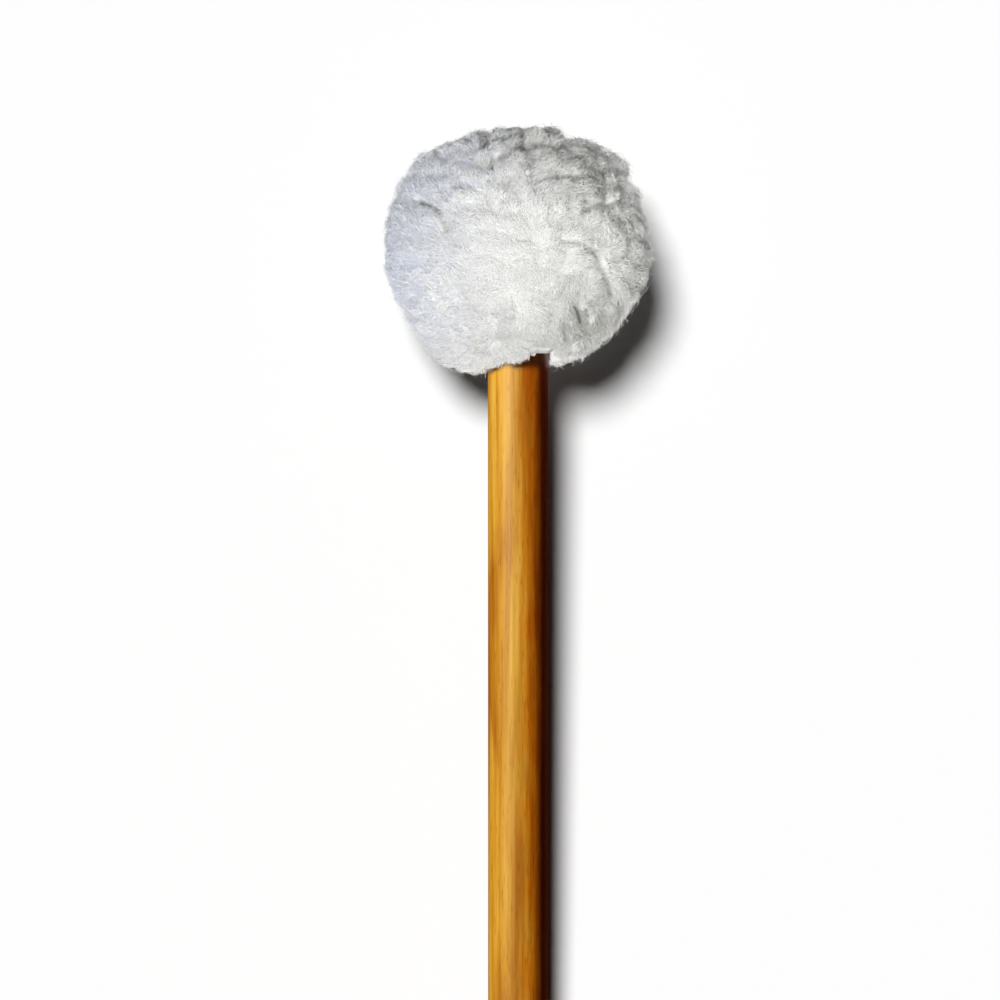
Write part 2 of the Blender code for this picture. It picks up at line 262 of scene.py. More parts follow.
# Noise-grained materials: repeats a metre, darkest and lightest colour, roughness from and to, the relief's
# strength and depth, and the shader's uniform settings.
# The backing is the white pile greyed to half: painted shade of the pile's depths, to match the shaded
# strands.
BACKING_PAINTED_SHADE_LOOK = ((2500.0,) * 3, (0.46, 0.46, 0.455), (0.54, 0.54, 0.53), (0.9, 1.0), 0.6, 0.15 * MM, {
    "Specular IOR Level": 0.1, "Subsurface Weight": 1.0, "Subsurface Scale": 1.2 * MM,
    "Subsurface Radius": (1.0, 1.0, 1.0),
})
INNER_LOOKS = {
    "pressed_felt": (
        (900.0,) * 3, (0.66, 0.64, 0.58), (0.80, 0.78, 0.72), (0.9, 1.0), 0.7, 0.25 * MM,
        {"Sheen Weight": 0.4}),
    "turned_maple": (
        (60.0, 1300.0, 1300.0), (0.52, 0.36, 0.20), (0.70, 0.54, 0.34), (0.42, 0.55), 0.2, 0.03 * MM, {}),
    "collar_leather": (
        (1500.0,) * 3, (0.20, 0.09, 0.035), (0.34, 0.17, 0.075), (0.55, 0.75), 0.6, 0.08 * MM, {}),
    "zinc_steel": (
        (700.0,) * 3, (0.60, 0.61, 0.63), (0.74, 0.75, 0.76), (0.24, 0.38), 0.1, 0.01 * MM,
        {"Metallic": 1.0}),
    "waxed_thread": (
        (500.0, 3500.0, 3500.0), (0.64, 0.61, 0.53), (0.80, 0.78, 0.71), (0.5, 0.65), 0.4, 0.03 * MM, {}),
}
FELTS = ("felt_liner", "crown_felt", "base_felt")
# The CAD nodes inside the head that keep their shape, and their materials.
KEPT_NODES = {
    "core": "turned_maple", "leather_collar": "collar_leather", "screw_washer": "zinc_steel",
    "head_screw": "zinc_steel",
}
# The strands' tones: clean white, three steps of painted shade, and two with a painted cool light, the second
# also in painted shade.
FIBRE_TONES = {
    "fibre_bright": (0.92, 0.92, 0.91), "fibre_painted_shade_light": (0.77, 0.77, 0.76), "fibre_painted_shade_mid": (0.62, 0.62, 0.60),
    "fibre_painted_shade_deep": (0.46, 0.46, 0.43), "fibre_painted_bluish_light": (0.73, 0.76, 0.87), "fibre_painted_bluish_shade": (0.57, 0.60, 0.70),
}
PAINTED_SHADE_STEPS = 3
# Where painted shade darkens the fleece, most on its top and right, and where a painted cool light tints its
# left: degrees from the crown towards +v, degrees above the floor's plane, width in degrees, and how much.
PAINTED_SHADE_PLACES = [
    (138, 32, 23, 0.95), (45, 34, 24, 0.80), (0, 38, 22, 0.65), (95, 16, 22, 0.60), (-100, 0, 20, 0.35),
    (-150, 12, 20, 0.35), (-178, 42, 16, 0.35), (-85, 38, 18, 0.25),
]
# Painted cool light, on the fleece's left side.
PAINTED_COOL_LIGHT_PLACES = [(-95, 15, 42, 0.90), (-45, 30, 30, 0.55)]
FIBRE_SETTINGS = {
    "Roughness": 0.95, "Specular IOR Level": 0.15, "Subsurface Weight": 0.6, "Subsurface Scale": 0.3 * MM,
    "Subsurface Radius": (1.0, 1.0, 1.0),
}


def new_material(name):
    look = bpy.data.materials.new(name)
    look.use_nodes = True
    return look, look.node_tree, look.node_tree.nodes["Principled BSDF"]


def ramp(tree, factor, stops):
    """A colour ramp fed by a factor; stops are (position, colour)."""
    stops = list(stops)
    made = tree.nodes.new("ShaderNodeValToRGB")
    elements = made.color_ramp.elements
    while len(elements) < len(stops):
        elements.new(1.0)
    for element, (place, colour) in zip(elements, stops):
        element.position = place
        element.color = (*colour, 1.0)
    tree.links.new(factor, made.inputs["Fac"])
    return made.outputs["Color"]


def own_places(tree, scale=(1.0, 1.0, 1.0)):
    """Object coordinates turned to the mallet's axes (along, up, across) and scaled."""
    places = tree.nodes.new("ShaderNodeTexCoord")
    turned = tree.nodes.new("ShaderNodeMapping")
    turned.inputs["Rotation"].default_value = (0.0, math.atan2(ALONG[2], ALONG[0]), 0.0)
    tree.links.new(places.outputs["Object"], turned.inputs["Vector"])
    scaled = tree.nodes.new("ShaderNodeMapping")
    scaled.inputs["Scale"].default_value = scale
    tree.links.new(turned.outputs["Vector"], scaled.inputs["Vector"])
    return scaled.outputs["Vector"]


def noise_pattern(tree, repeats, detail, roughness=0.5, distortion=0.0):
    """Noise in the mallet's own axes; repeats are a metre, along, up and across."""
    made = tree.nodes.new("ShaderNodeTexNoise")
    made.inputs["Scale"].default_value = 1.0
    made.inputs["Detail"].default_value = detail
    made.inputs["Roughness"].default_value = roughness
    made.inputs["Distortion"].default_value = distortion
    tree.links.new(own_places(tree, repeats), made.inputs["Vector"])
    return made.outputs["Fac"]


def mixed_colour(tree, factor, first, second, blend="MIX"):
    """A mix of two colours, each a socket or a tuple; the factor is a socket or a number."""
    made = tree.nodes.new("ShaderNodeMix")
    made.data_type = "RGBA"
    made.blend_type = blend
    for socket, value in ((made.inputs[0], factor), (made.inputs[6], first), (made.inputs[7], second)):
        if isinstance(value, bpy.types.NodeSocket):
            tree.links.new(value, socket)
        else:
            socket.default_value = value if isinstance(value, float) else (*value, 1.0)
    return made.outputs[2]


def map_range(tree, value, **ends):
    """A value mapped to another range; ends are the limits that differ from 0 and 1, such as From_Min."""
    made = tree.nodes.new("ShaderNodeMapRange")
    for name, end in ends.items():
        made.inputs[name.replace("_", " ")].default_value = end
    tree.links.new(value, made.inputs["Value"])
    return made.outputs["Result"]


def bumped(tree, shader, height, strength, distance):
    bump = tree.nodes.new("ShaderNodeBump")
    bump.inputs["Strength"].default_value = strength
    bump.inputs["Distance"].default_value = distance
    tree.links.new(height, bump.inputs["Height"])
    tree.links.new(bump.outputs["Normal"], shader.inputs["Normal"])


def painted_shade_side(tree):
    """Painted shade: a darker, redder tone along the shaft's +v side, away from its key light, with a
    wandering edge.
    """
    apart = tree.nodes.new("ShaderNodeSeparateXYZ")
    tree.links.new(own_places(tree), apart.inputs["Vector"])
    across = map_range(tree, apart.outputs["Y"], From_Min=-SHAFT_RADIUS, From_Max=SHAFT_RADIUS)
    wander = tree.nodes.new("ShaderNodeMath")
    wander.operation = "MULTIPLY_ADD"
    wander.inputs[1].default_value = SHADE_SIDE_WANDER
    tree.links.new(noise_pattern(tree, *SHADE_SIDE_PATCHES), wander.inputs[0])
    tree.links.new(across, wander.inputs[2])
    return ramp(tree, wander.outputs["Value"], SHADE_SIDE_RAMP)


def end_grain(tree):
    """(colour, share): growth rings cut across, on the surface that faces along the shaft's butt."""
    rings = tree.nodes.new("ShaderNodeTexWave")
    rings.wave_type = "RINGS"
    rings.rings_direction = "X"
    rings.inputs["Scale"].default_value = RINGS_A_METRE
    rings.inputs["Distortion"].default_value = RING_DISTORTION
    rings.inputs["Detail"].default_value = RING_DETAIL
    tree.links.new(own_places(tree), rings.inputs["Vector"])
    surface = tree.nodes.new("ShaderNodeTexCoord")
    facing = tree.nodes.new("ShaderNodeVectorMath")
    facing.operation = "DOT_PRODUCT"
    facing.inputs[1].default_value = -ALONG
    tree.links.new(surface.outputs["Normal"], facing.inputs[0])
    side, face = END_GRAIN_FACING
    share = map_range(tree, facing.outputs["Value"], From_Min=side, From_Max=face)
    return ramp(tree, rings.outputs["Fac"], END_GRAIN_RAMP), share


def lacquered_wood():
    """Golden lacquered hardwood: long streaks, a soft mottle and short flecks along the shaft; painted shade
    on one side.
    """
    look, tree, shader = new_material("lacquered_wood")
    streaks = noise_pattern(tree, *STREAKS)
    mottle = noise_pattern(tree, *MOTTLE)
    flecks = noise_pattern(tree, *FLECKS)
    colour = ramp(tree, streaks, STREAK_RAMP)
    colour = mixed_colour(tree, 1.0, colour, ramp(tree, mottle, MOTTLE_RAMP), "MULTIPLY")
    colour = mixed_colour(tree, FLECK_SHARE, colour, ramp(tree, flecks, FLECK_RAMP), "MULTIPLY")
    # Painted shade along the shaft's side away from the key light.
    colour = mixed_colour(tree, 1.0, colour, painted_shade_side(tree), "MULTIPLY")
    cut_across, share = end_grain(tree)
    colour = mixed_colour(tree, share, colour, cut_across)
    tree.links.new(colour, shader.inputs["Base Color"])
    glossiest, dullest = LACQUER_ROUGHNESS
    tree.links.new(map_range(tree, mottle, To_Min=glossiest, To_Max=dullest), shader.inputs["Roughness"])
    bumped(tree, shader, streaks, GRAIN_RELIEF, GRAIN_DEPTH)
    shader.inputs["Specular Tint"].default_value = LACQUER_TINT
    return look


def grained(name, repeats, dark, light, rough, relief, depth, uniform):
    """A material whose colour, roughness and relief all follow one noise."""
    look, tree, shader = new_material(name)
    grain = noise_pattern(tree, repeats, GRAIN_NOISE_DETAIL)
    tree.links.new(ramp(tree, grain, zip(GRAIN_STOPS, (dark, light))), shader.inputs["Base Color"])
    tree.links.new(map_range(tree, grain, To_Min=rough[0], To_Max=rough[1]), shader.inputs["Roughness"])
    bumped(tree, shader, grain, relief, depth)
    for socket, value in uniform.items():
        shader.inputs[socket].default_value = value
    return look


def fibre_materials():
    """The strands' materials; each strand has one of them, and light passes a little through it."""
    made = []
    for name, colour in FIBRE_TONES.items():
        look, _, shader = new_material(name)
        shader.inputs["Base Color"].default_value = (*colour, 1.0)
        for socket, value in FIBRE_SETTINGS.items():
            shader.inputs[socket].default_value = value
        made.append(look)
    return made


# ---------------------------------------------------------------- fleece
# Heights, depths and lumps of the pile are shares of the envelope's radius; angles in degrees end in DEG.
ANY_PHASE = 6.3
TUFT_SPACING = 3.9 * MM
TUFT_HALF_LENGTH = 4.1 * MM
TUFT_HALF_WIDTH = 2.7 * MM
TUFT_TRIES = 24000
MOST_TUFTS = 4000
TUFTS_FROM_SHAFT_DEG = 19
TUFT_SIZES = (0.75, 1.3)
TUFT_HEIGHTS = (0.7, 1.1)
TUFT_BENDS = (-0.5, 0.5)
# A tuft's profile: how fast it rises, where it starts to fall away to its tip, and how square its sides are.
TUFT_RISE = 1.6
TUFT_FALL = 0.2
TUFT_SIDES = 0.75
# The tufts' lean: how much they swirl, wander together and scatter.
SWIRL = 0.45
WANDER = 0.6
SCATTER = 0.4
# Smooth random fields over the ball: waves, seed and how fine.
LEAN_FIELD = (9, 21, 2.6)
LUMP_FIELD = (14, 33, 70.0)
NEIGHBOURS = 7
USUAL_LIFT = 0.6
PILE_FLOOR = 0.915
TUFT_HEIGHT = 0.10
ROUGH_SIDE = (35, 0, 60)
ROUGHER = 0.7
FINE_LUMPS = 0.003
BLEND = 9.0
BATCHES = 60
CREASE_DEPTH = 0.14
CREASE_BARE = 0.85
CREASE_FADE = 8
STRANDS_FROM_SHAFT_DEG = 13.5
STRANDS_PER_PIECE = 7600
STRAND_POINTS = 5
STRAND_RADIUS = 0.050 * MM
THICKNESSES = (0.75, 1.2)
THINNEST = 0.06
# A strand's line: the part of an arch that it rises along, its curl's pace, and how it lies over and aside.
ARCH = 0.62
PACES = (0.8, 1.6)
LAY = 1.3
BEND_ASIDE = 0.4
ROOT_DEPTH = 0.3 * MM
# Strands, then flyaways: how many, how far the tip stands up, how far over it lies, frizz, stray and radius.
STRAND_KINDS = [
    (105000, (0.5 * MM, 1.2 * MM), (0.6 * MM, 2.0 * MM), 0.15 * MM, 0.5, STRAND_RADIUS),
    (7000, (0.8 * MM, 2.1 * MM), (1.0 * MM, 3.2 * MM), 0.30 * MM, 0.9, 0.6 * STRAND_RADIUS),
]
OFF_SHAFT = 0.5 * MM
OFF_FLOOR = 0.15 * MM
# The body's shape: its outside down to the shaft, the pocket that holds the felt, and its mouth on the shaft.
BODY_ROWS = 226
BODY_STEPS = 390
BODY_OPEN_DEG = 165.5
POCKET_ROWS = 24
POCKET_OPEN_DEG = 154
POCKET_RADIUS = 20.7 * MM
POCKET_HALF_HEIGHT = 19.0 * MM
MOUTH_RADIUS = SHAFT_RADIUS + 0.2 * MM
MOUTH = (20.5 * MM, 17.8 * MM)
# The parting beside the shaft and the short lip above it: degrees round the shaft, width, depth, sharpness.
PARTINGS = [(55, 33, 0.145, 8), (5, 28, 0.085, 4)]
PARTING_FROM_DEG = 149
PARTING_OVER_DEG = 8
# The box beside the shaft that strands leave bare: below the head's centre, above the axis, and across.
BARE_BELOW = 20.8 * MM
BARE_ABOVE_AXIS = 0.5 * MM
BARE_ACROSS = (2.4 * MM, 7.2 * MM)
# Where the pile stands fuller or thinner: degrees from the crown towards +v, degrees above the floor's plane,
# share of the radius, width in degrees.
PILE_SWELLS = [
    (0, 0, -0.02, 18), (46, 0, 0.075, 14), (-50, 0, 0.045, 14), (-150, 0, 0.085, 18), (128, 0, -0.025, 22),
    (128, 50, -0.075, 12),
]
# Creases in the side away from the floor: ends as (v, s from the head's centre), then half width, in mm.
CREASES = [
    ((-7.8, 24.3), (-8.0, 20.3), 0.68), ((0.3, 25.2), (0.4, 21.3), 0.68), ((10.1, 23.9), (9.6, 20.9), 0.60),
    ((-5.6, 18.9), (-6.0, 16.1), 0.52), ((3.7, 13.3), (6.3, 14.3), 0.45), ((13.6, 16.4), (20.5, 15.7), 0.68),
    ((14.3, 7.6), (20.9, 8.4), 0.60), ((9.7, 0.7), (13.3, 0.4), 0.45), ((13.3, 0.4), (17.6, -1.8), 0.52),
    ((17.3, -2.8), (21.3, -10.8), 0.90), ((10.1, -15.0), (10.6, -20.5), 0.52),
    ((14.0, -13.0), (15.5, -17.5), 0.60), ((-22.5, 9.6), (-17.6, 7.6), 0.52),
    ((-17.6, 7.6), (-15.6, 3.6), 0.45), ((-19.0, -7.0), (-15.5, -13.0), 0.45),
]


def unit(vectors):
    return vectors / np.linalg.norm(vectors, axis=-1, keepdims=True)


def below(degrees):
    """The s of a unit direction that many degrees off the shaft's own."""
    return -math.cos(math.radians(degrees))


def toward(directions, turn, above, width):
    """1 at a place on the ball, in degrees, falling smoothly with the angle from it."""
    turn, above = math.radians(turn), math.radians(above)
    middle = (math.cos(turn) * math.cos(above), math.sin(above), math.sin(turn) * math.cos(above))
    away = np.degrees(np.arccos(np.clip(directions @ np.array(middle), -1, 1)))
    return np.exp(-(away / width) ** 2)


def envelope(directions):
    """Distance from the head's centre to the pile's outer surface along unit directions (s, u, v)."""
    d = directions
    along = (d[..., 0] / HEAD_HALF_HEIGHT) ** 2
    aside = (d[..., 1] ** 2 + d[..., 2] ** 2) / HEAD_RADIUS ** 2
    swell = 1.0
    for turn, above, amount, width in PILE_SWELLS:
        swell = swell + amount * toward(d, turn, above, width)
    return swell / np.sqrt(along + aside)


def smooth_field(directions, waves, seed, fineness):
    """A smooth random vector for each direction, from a few sine waves across the ball."""
    source = np.random.default_rng(seed)
    total = np.zeros(directions.shape)
    for _ in range(waves):
        wave = source.normal(size=3) * fineness
        total += source.normal(size=3) * np.sin(directions @ wave + source.uniform(0, ANY_PHASE))[..., None]
    return total / math.sqrt(waves)


def scattered_directions(spacing):
    """Unit directions over the ball, no two nearer than the spacing, clear of the shaft."""
    tries = unit(rng.normal(size=(TUFT_TRIES, 3)))
    tries = tries[tries[:, 0] > below(TUFTS_FROM_SHAFT_DEG)]
    kept = np.empty((MOST_TUFTS, 3))
    count = 0
    near = math.cos(spacing / HEAD_RADIUS)
    for direction in tries:
        if count == 0 or (kept[:count] @ direction).max() < near:
            kept[count] = direction
            count += 1
    return kept[:count]


def tubes(name, centres, radii, tone, materials):
    """One mesh of closed three-sided tubes; centres is (tubes, points, 3), radii (tubes, points)."""
    count, points = centres.shape[:2]
    sides = 3
    tangents = unit(np.gradient(centres, axis=1))
    chord = unit(centres[:, -1] - centres[:, 0])
    reference = unit(np.cross(chord, rng.normal(size=(count, 3))))[:, None, :]
    first = unit(np.cross(tangents, reference))
    second = np.cross(tangents, first)
    rings = np.empty((count, points, sides, 3))
    for side in range(sides):
        angle = 2 * math.pi * side / sides
        offset = math.cos(angle) * first + math.sin(angle) * second
        rings[:, :, side] = centres + radii[..., None] * offset
    vertices = world(rings.reshape(-1, 3))
    start = (np.arange(count) * points * sides)[:, None, None]
    ring = (np.arange(points - 1) * sides)[None, :, None]
    here = np.arange(sides)[None, None, :]
    after = (here + 1) % sides
    quads = np.stack([start + ring + here, start + ring + after,
                      start + ring + sides + after, start + ring + sides + here], axis=-1).reshape(-1, 4)
    base = np.arange(count) * points * sides
    root_caps = np.stack([base + 2, base + 1, base], axis=-1)
    tip = base + (points - 1) * sides
    tip_caps = np.stack([tip, tip + 1, tip + 2], axis=-1)
    loops = np.concatenate([quads.ravel(), root_caps.ravel(), tip_caps.ravel()])
    sizes = np.concatenate([np.full(len(quads), 4), np.full(2 * count, 3)])
    starts = np.concatenate([[0], np.cumsum(sizes)[:-1]])
    mesh = bpy.data.meshes.new(name)
    mesh.vertices.add(len(vertices))
    mesh.vertices.foreach_set("co", vertices.ravel())
    mesh.loops.add(len(loops))
    mesh.loops.foreach_set("vertex_index", loops)
    mesh.polygons.add(len(sizes))
    mesh.polygons.foreach_set("loop_start", starts)
    mesh.polygons.foreach_set("use_smooth", np.ones(len(sizes), bool))
    for material in materials:
        mesh.materials.append(material)
    tones = np.concatenate([np.repeat(tone, (points - 1) * sides), tone, tone])
    mesh.polygons.foreach_set("material_index", tones)
    mesh.update(calc_edges=True)
    mesh.validate()
    return add_object(name, mesh)


def make_tufts():
    """The tufts' directions from the head's centre, which way each leans, and its size."""
    roots = scattered_directions(TUFT_SPACING)
    down = np.array([0.0, -1.0, 0.0])
    lean = down - SWIRL * np.cross(roots, down) + WANDER * smooth_field(roots, *LEAN_FIELD)
    lean += SCATTER * rng.normal(size=roots.shape)
    lean = unit(lean - (lean * roots).sum(-1, keepdims=True) * roots)
    count = len(roots)
    return {
        "roots": roots, "lean": lean, "side": np.cross(roots, lean),
        "length": TUFT_HALF_LENGTH * rng.uniform(*TUFT_SIZES, count),
        "width": TUFT_HALF_WIDTH * rng.uniform(*TUFT_SIZES, count),
        "height": rng.uniform(*TUFT_HEIGHTS, count),
        "bend": rng.uniform(*TUFT_BENDS, count),
    }


def creased(directions):
    """How far into a crease, from 0 to 1, the pile is along unit directions."""
    deepest = np.zeros(len(directions))
    places = directions * np.array([HEAD_HALF_HEIGHT, HEAD_RADIUS, HEAD_RADIUS])
    for start, end, half_width in CREASES:
        start, end = np.array(start) * MM, np.array(end) * MM
        run = end - start
        flat = places[:, [2, 0]] - start
        share = np.clip(flat @ run / (run @ run), 0, 1)
        away = np.linalg.norm(flat - share[:, None] * run, axis=1)
        deep = np.exp(-(away / (half_width * MM)) ** 2) * np.clip(directions[:, 1] * CREASE_FADE, 0, 1)
        deepest = np.maximum(deepest, deep)
    return deepest


def parted(directions):
    """How far the pile draws back beside and above the shaft, as a share of the envelope."""
    turn = np.degrees(np.arctan2(directions[:, 2], directions[:, 1]))
    polar = np.degrees(np.arccos(np.clip(directions[:, 0], -1, 1)))
    depths = [depth * np.exp(-((turn - middle) / width) ** sharp) for middle, width, depth, sharp in PARTINGS]
    return np.maximum(*depths) * np.clip((polar - PARTING_FROM_DEG) / PARTING_OVER_DEG, 0, 1)


def pile_surface(directions, tufts):
    """The body's height as a share of the envelope, and the tuft on top, along unit directions."""
    lift = np.empty(len(directions))
    top = np.empty(len(directions), int)
    for part in np.array_split(np.arange(len(directions)), BATCHES):
        cosines = directions[part] @ tufts["roots"].T
        near = np.argpartition(-cosines, NEIGHBOURS, axis=1)[:, :NEIGHBOURS]
        gap = (directions[part][:, None] - tufts["roots"][near]) * HEAD_RADIUS
        a = (gap * tufts["lean"][near]).sum(-1) / tufts["length"][near]
        b = (gap * tufts["side"][near]).sum(-1) / tufts["width"][near] + tufts["bend"][near] * a ** 2
        rising = np.sqrt(np.clip((a + 1.0) / TUFT_RISE, 0, 1))
        falling = np.clip(1 - (np.clip(a - TUFT_FALL, 0, 1) / (1 - TUFT_FALL)) ** 2, 0, 1)
        rounded = falling * np.clip(1 - b ** 2, 0, 1) ** TUFT_SIDES
        lifts = tufts["height"][near] * rising * rounded
        lift[part] = np.log(np.exp(BLEND * lifts).mean(1)) / BLEND
        top[part] = near[np.arange(len(part)), lifts.argmax(1)]
    lumps = FINE_LUMPS * smooth_field(directions, *LUMP_FIELD)[:, 0]
    relief = TUFT_HEIGHT * (1 + ROUGHER * toward(directions, *ROUGH_SIDE))
    height = PILE_FLOOR + TUFT_HEIGHT * USUAL_LIFT + relief * (lift - USUAL_LIFT) + lumps
    return height - CREASE_DEPTH * creased(directions) - parted(directions), top


def grow(tufts, count, rise, reach, frizz, stray):
    """Centre lines (strands, points, 3) in (s, u, v) of strands that stand on the tufts and lean as they do.

    rise and reach are ranges: how far the tip stands above the root, and how far over it lies.
    """
    roots = unit(rng.normal(size=(count, 3)))
    roots = roots[roots[:, 0] > below(STRANDS_FROM_SHAFT_DEG)]
    roots = roots[creased(roots) < CREASE_BARE]
    height, top = pile_surface(roots, tufts)
    count = len(roots)
    lean = tufts["lean"][top] + stray * rng.normal(size=(count, 3))
    lean = unit(lean - (lean * roots).sum(-1, keepdims=True) * roots)
    side = np.cross(roots, lean)
    t = np.linspace(0.0, 1.0, STRAND_POINTS)[None, :]
    wobble = rng.random((count, 3, 1)) * ANY_PHASE
    pace = ANY_PHASE * rng.uniform(*PACES, (count, 1)) * t
    bend = rng.normal(size=(count, 1)) * BEND_ASIDE
    over = rng.uniform(*reach, (count, 1))
    a = over * t ** LAY + frizz * np.sin(pace + wobble[:, 0]) * t
    b = over * bend * t ** 2 + frizz * np.sin(pace + wobble[:, 1]) * t
    up = rng.uniform(*rise, (count, 1)) * np.sin(ARCH * math.pi * t) - ROOT_DEPTH * (1 - t)
    offset = a[..., None] * lean[:, None] + b[..., None] * side[:, None]
    pointing = unit(roots[:, None] + offset / HEAD_RADIUS)
    distance = envelope(pointing) * height[:, None] + up
    centres = pointing * distance[..., None]
    centres[..., 0] += HEAD_CENTRE
    return centres


def tapered(count, thickest):
    """Radii (strands, points), thinning to the tip."""
    taper = np.sqrt(np.clip(1.0 - np.linspace(0, 1, STRAND_POINTS) ** 2, THINNEST, 1.0))
    return thickest * rng.uniform(*THICKNESSES, (count, 1)) * taper


def clear_of_shaft(centres):
    """Pushes points that fall inside the shaft out to just off it, and keeps all above the floor."""
    free = SHAFT_RADIUS + OFF_SHAFT
    distance = np.hypot(centres[..., 1], centres[..., 2])
    inside = (distance < free) & (centres[..., 0] < HEAD_CENTRE)
    push = np.where(inside, free / np.maximum(distance, 1e-6), 1.0)
    centres[..., 1] *= push
    centres[..., 2] *= push
    floor_level = (OFF_FLOOR - BUTT[2] - centres[..., 0] * ALONG[2]) / UP[2]
    centres[..., 1] = np.maximum(centres[..., 1], floor_level)
    return centres


def gathered(directions, places):
    """How much of several places' effect, from 0 to 1, reaches each direction."""
    left = np.ones(len(directions))
    for turn, above, width, amount in places:
        left *= 1 - amount * toward(directions, turn, above, width)
    return 1 - left


def chosen_tones(directions):
    """Each strand's tone: painted shade darkens it in steps with the place; a painted cool light tints one
    side.
    """
    step = (gathered(directions, PAINTED_SHADE_PLACES) * PAINTED_SHADE_STEPS + rng.random(len(directions))).astype(int)
    painted_cool = rng.random(len(directions)) < gathered(directions, PAINTED_COOL_LIGHT_PLACES)
    return np.where(painted_cool, PAINTED_SHADE_STEPS + 1 + (step >= 2), step)


def off_the_parting(centres):
    """Which strands leave bare the notch where the pile parts beside the shaft."""
    low = centres[..., 0] < HEAD_CENTRE - BARE_BELOW
    nearest, farthest = BARE_ACROSS
    beside = (centres[..., 2] > nearest) & (centres[..., 2] < farthest) & (centres[..., 1] > BARE_ABOVE_AXIS)
    return ~(low & beside).any(1)


def turned_mesh(name, profile, steps, material, shape):
    """A closed solid of revolution about the mallet's axis; the profile is (radius, s), and ends on the axis.

    shape moves the points, given as (s, u, v), before they are placed.
    """
    inner = np.array(profile[1:-1])
    angles = np.linspace(0, 2 * math.pi, steps, endpoint=False)
    grid = np.empty((len(inner), steps, 3))
    grid[..., 0] = inner[:, 1:2]
    grid[..., 1] = inner[:, 0:1] * np.cos(angles)
    grid[..., 2] = inner[:, 0:1] * np.sin(angles)
    points = shape(np.concatenate([[(profile[0][1], 0, 0)], grid.reshape(-1, 3), [(profile[-1][1], 0, 0)]]))
    row = np.arange(steps)
    after = (row + 1) % steps
    faces = [(0, 1 + a, 1 + b) for a, b in zip(row, after)]
    for ring in range(len(inner) - 1):
        top = 1 + ring * steps
        faces += [(top + b, top + a, top + steps + a, top + steps + b) for a, b in zip(row, after)]
    last = 1 + (len(inner) - 1) * steps
    faces += [(len(points) - 1, last + b, last + a) for a, b in zip(row, after)]
    mesh = bpy.data.meshes.new(name)
    mesh.from_pydata(world(points).tolist(), [], faces)
    mesh.polygons.foreach_set("use_smooth", np.ones(len(faces), bool))
    mesh.materials.append(material)
    return add_object(name, mesh)


def make_fleece_body(tufts, look):
    """The pile's tufts as one soft closed mass: a pouch over the felt that draws in around the shaft."""
    polar = np.radians(np.linspace(0, BODY_OPEN_DEG, BODY_ROWS))
    outer = [(math.sin(a) * HEAD_RADIUS, HEAD_CENTRE + math.cos(a) * HEAD_RADIUS) for a in polar]
    pocket = np.radians(np.linspace(POCKET_OPEN_DEG, 0, POCKET_ROWS))
    inner = [(POCKET_RADIUS * math.sin(a), HEAD_CENTRE + POCKET_HALF_HEIGHT * math.cos(a)) for a in pocket]
    mouth = [(MOUTH_RADIUS, HEAD_CENTRE - below_centre) for below_centre in MOUTH]

    def tufted(points):
        rows = slice(0, 1 + (len(outer) - 1) * BODY_STEPS)
        pointing = unit(points[rows] - (HEAD_CENTRE, 0, 0))
        height, _ = pile_surface(pointing, tufts)
        points[rows] = (HEAD_CENTRE, 0, 0) + pointing * (envelope(pointing) * height)[:, None]
        points[rows] = clear_of_shaft(points[rows])
        return points

    return turned_mesh("fleece_body", outer + mouth + inner, BODY_STEPS, look, tufted)


def make_fleece():
    """The head's pile: the mass of its tufts, and the strands and flyaway fibres that stand on them."""
    tufts = make_tufts()
    # The body's material carries painted shade: white pile greyed to half.
    body = make_fleece_body(tufts, grained("fleece_backing_painted_shade", *BACKING_PAINTED_SHADE_LOOK))
    kinds = [(grow(tufts, *how), thickest) for *how, thickest in STRAND_KINDS]
    centres = clear_of_shaft(np.concatenate([lines for lines, _ in kinds]))
    radii = np.concatenate([tapered(len(lines), thickest) for lines, thickest in kinds])
    kept = off_the_parting(centres)
    centres, radii = centres[kept], radii[kept]
    tone = chosen_tones(unit(centres[:, 0] - (HEAD_CENTRE, 0, 0)))
    fibres = fibre_materials()
    pieces = [body]
    groups = math.ceil(len(centres) / STRANDS_PER_PIECE)
    order = np.argsort(np.arctan2(centres[:, 0, 1], centres[:, 0, 2]), kind="stable")
    for index, chosen in enumerate(np.array_split(order, groups)):
        name = f"fleece_locks_{index + 1}"
        pieces.append(tubes(name, centres[chosen], radii[chosen], tone[chosen], fibres))
    for piece in pieces:
        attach(piece, "root")
    return pieces


# ---------------------------------------------------------------- inside the head
FELT_VOXEL = 0.45 * MM
FELT_UNEVEN = 0.12 * MM
FELT_LUMP = 1.6 * MM
FELT_WELD = 0.01 * MM
FELT_SMOOTHING = 3
COIL_RADIUS = 8.57 * MM
COIL_BOTTOM = 320.2 * MM
COIL_PITCH = 1.0 * MM
COIL_TURNS = 1.75
KNOT_OUT = 8.95 * MM
PLY_RADIUS = 0.20 * MM
TWIST_LENGTH = 2.2 * MM
PLY_POINTS = 560
KNOT_POINTS = 60


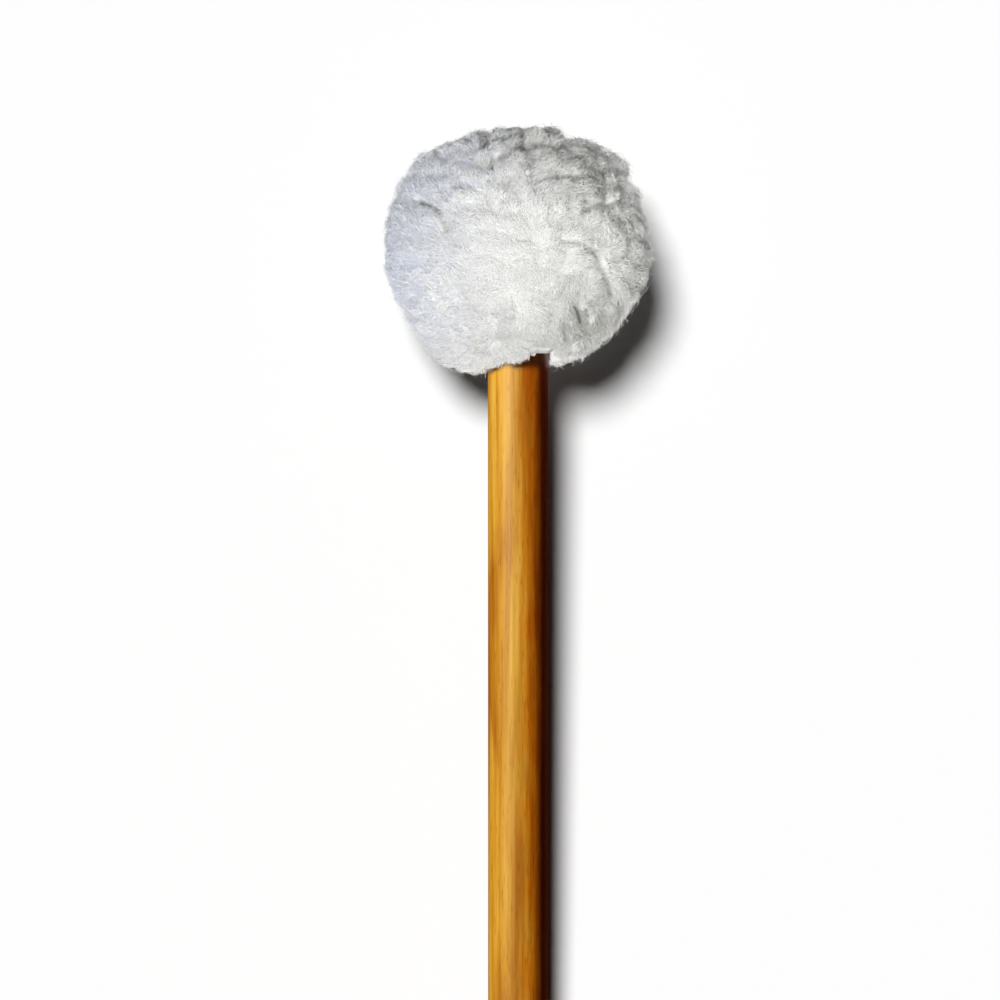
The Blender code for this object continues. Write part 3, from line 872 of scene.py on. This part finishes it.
def make_felt(name, look):
    """A felt piece: its solid with rounded edges and a slightly uneven surface, drawn in, never out."""
    felt = add_object(name + "_soft", frame["nodes"][name].data.copy())
    felt.modifiers.new("weld", "WELD").merge_threshold = FELT_WELD
    remesh = felt.modifiers.new("remesh", "REMESH")
    remesh.mode = "VOXEL"
    remesh.voxel_size = FELT_VOXEL
    felt.modifiers.new("smooth", "SMOOTH").iterations = FELT_SMOOTHING
    graph = bpy.context.evaluated_depsgraph_get()
    mesh = bpy.data.meshes.new_from_object(felt.evaluated_get(graph))
    felt.modifiers.clear()
    felt.data = mesh
    places, normals = np.empty(len(mesh.vertices) * 3), np.empty(len(mesh.vertices) * 3)
    mesh.vertices.foreach_get("co", places)
    mesh.vertices.foreach_get("normal", normals)
    places = places.reshape(-1, 3)
    uneven = np.array([0.5 + 0.5 * noise.noise(Vector(place) / FELT_LUMP) for place in places])
    places -= normals.reshape(-1, 3) * (FELT_UNEVEN * uneven.clip(0, 1))[:, None]
    mesh.vertices.foreach_set("co", places.ravel())
    mesh.polygons.foreach_set("use_smooth", np.ones(len(mesh.polygons), bool))
    mesh.materials.clear()
    mesh.materials.append(look)
    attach(felt, "root")
    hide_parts(name)


def add_spline(curve, points, closed=False):
    spline = curve.splines.new("POLY")
    spline.points.add(len(points) - 1)
    spline.points.foreach_set("co", np.column_stack([world(points), np.ones(len(points))]).ravel())
    spline.use_cyclic_u = closed
    spline.use_smooth = True


def make_draw_thread(look):
    """Two plies twisted together, wound round the cover's hem and knotted."""
    curve = bpy.data.curves.new("draw_thread_plies", "CURVE")
    curve.dimensions = "3D"
    curve.bevel_depth = PLY_RADIUS
    curve.bevel_resolution = 1
    curve.use_fill_caps = True
    turn = np.linspace(0, 2 * math.pi * COIL_TURNS, PLY_POINTS)
    twist = 2 * math.pi * turn * COIL_RADIUS / TWIST_LENGTH
    for phase in (0.0, math.pi):
        out = COIL_RADIUS + PLY_RADIUS * np.cos(twist + phase)
        along = COIL_BOTTOM + COIL_PITCH * turn / (2 * math.pi) + PLY_RADIUS * np.sin(twist + phase)
        add_spline(curve, np.column_stack([along, -out * np.cos(turn), -out * np.sin(turn)]))
    t = np.linspace(0, 2 * math.pi, KNOT_POINTS, endpoint=False)
    ring = 2 + np.cos(3 * t)
    knot = np.column_stack([np.sin(3 * t), ring * np.cos(2 * t), ring * np.sin(2 * t)])
    centre = (COIL_BOTTOM + COIL_PITCH * COIL_TURNS, 0.0, KNOT_OUT)
    add_spline(curve, knot * PLY_RADIUS + centre, closed=True)
    curve.materials.append(look)
    thread = add_object("draw_thread_plies", curve)
    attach(thread, "root")
    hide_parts("draw_thread")


make_camera()
floor = make_floor()
pieces = make_fleece()
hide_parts("fleece_cover")
frame["nodes"]["shaft"].material_slots[0].material = lacquered_wood()
inner_looks = {name: grained(name, *look) for name, look in INNER_LOOKS.items()}
for name in FELTS:
    make_felt(name, inner_looks["pressed_felt"])
make_draw_thread(inner_looks["waxed_thread"])
for name, look in KEPT_NODES.items():
    frame["nodes"][name].material_slots[0].material = inner_looks[look]
make_lights(floor, pieces)
make_room()
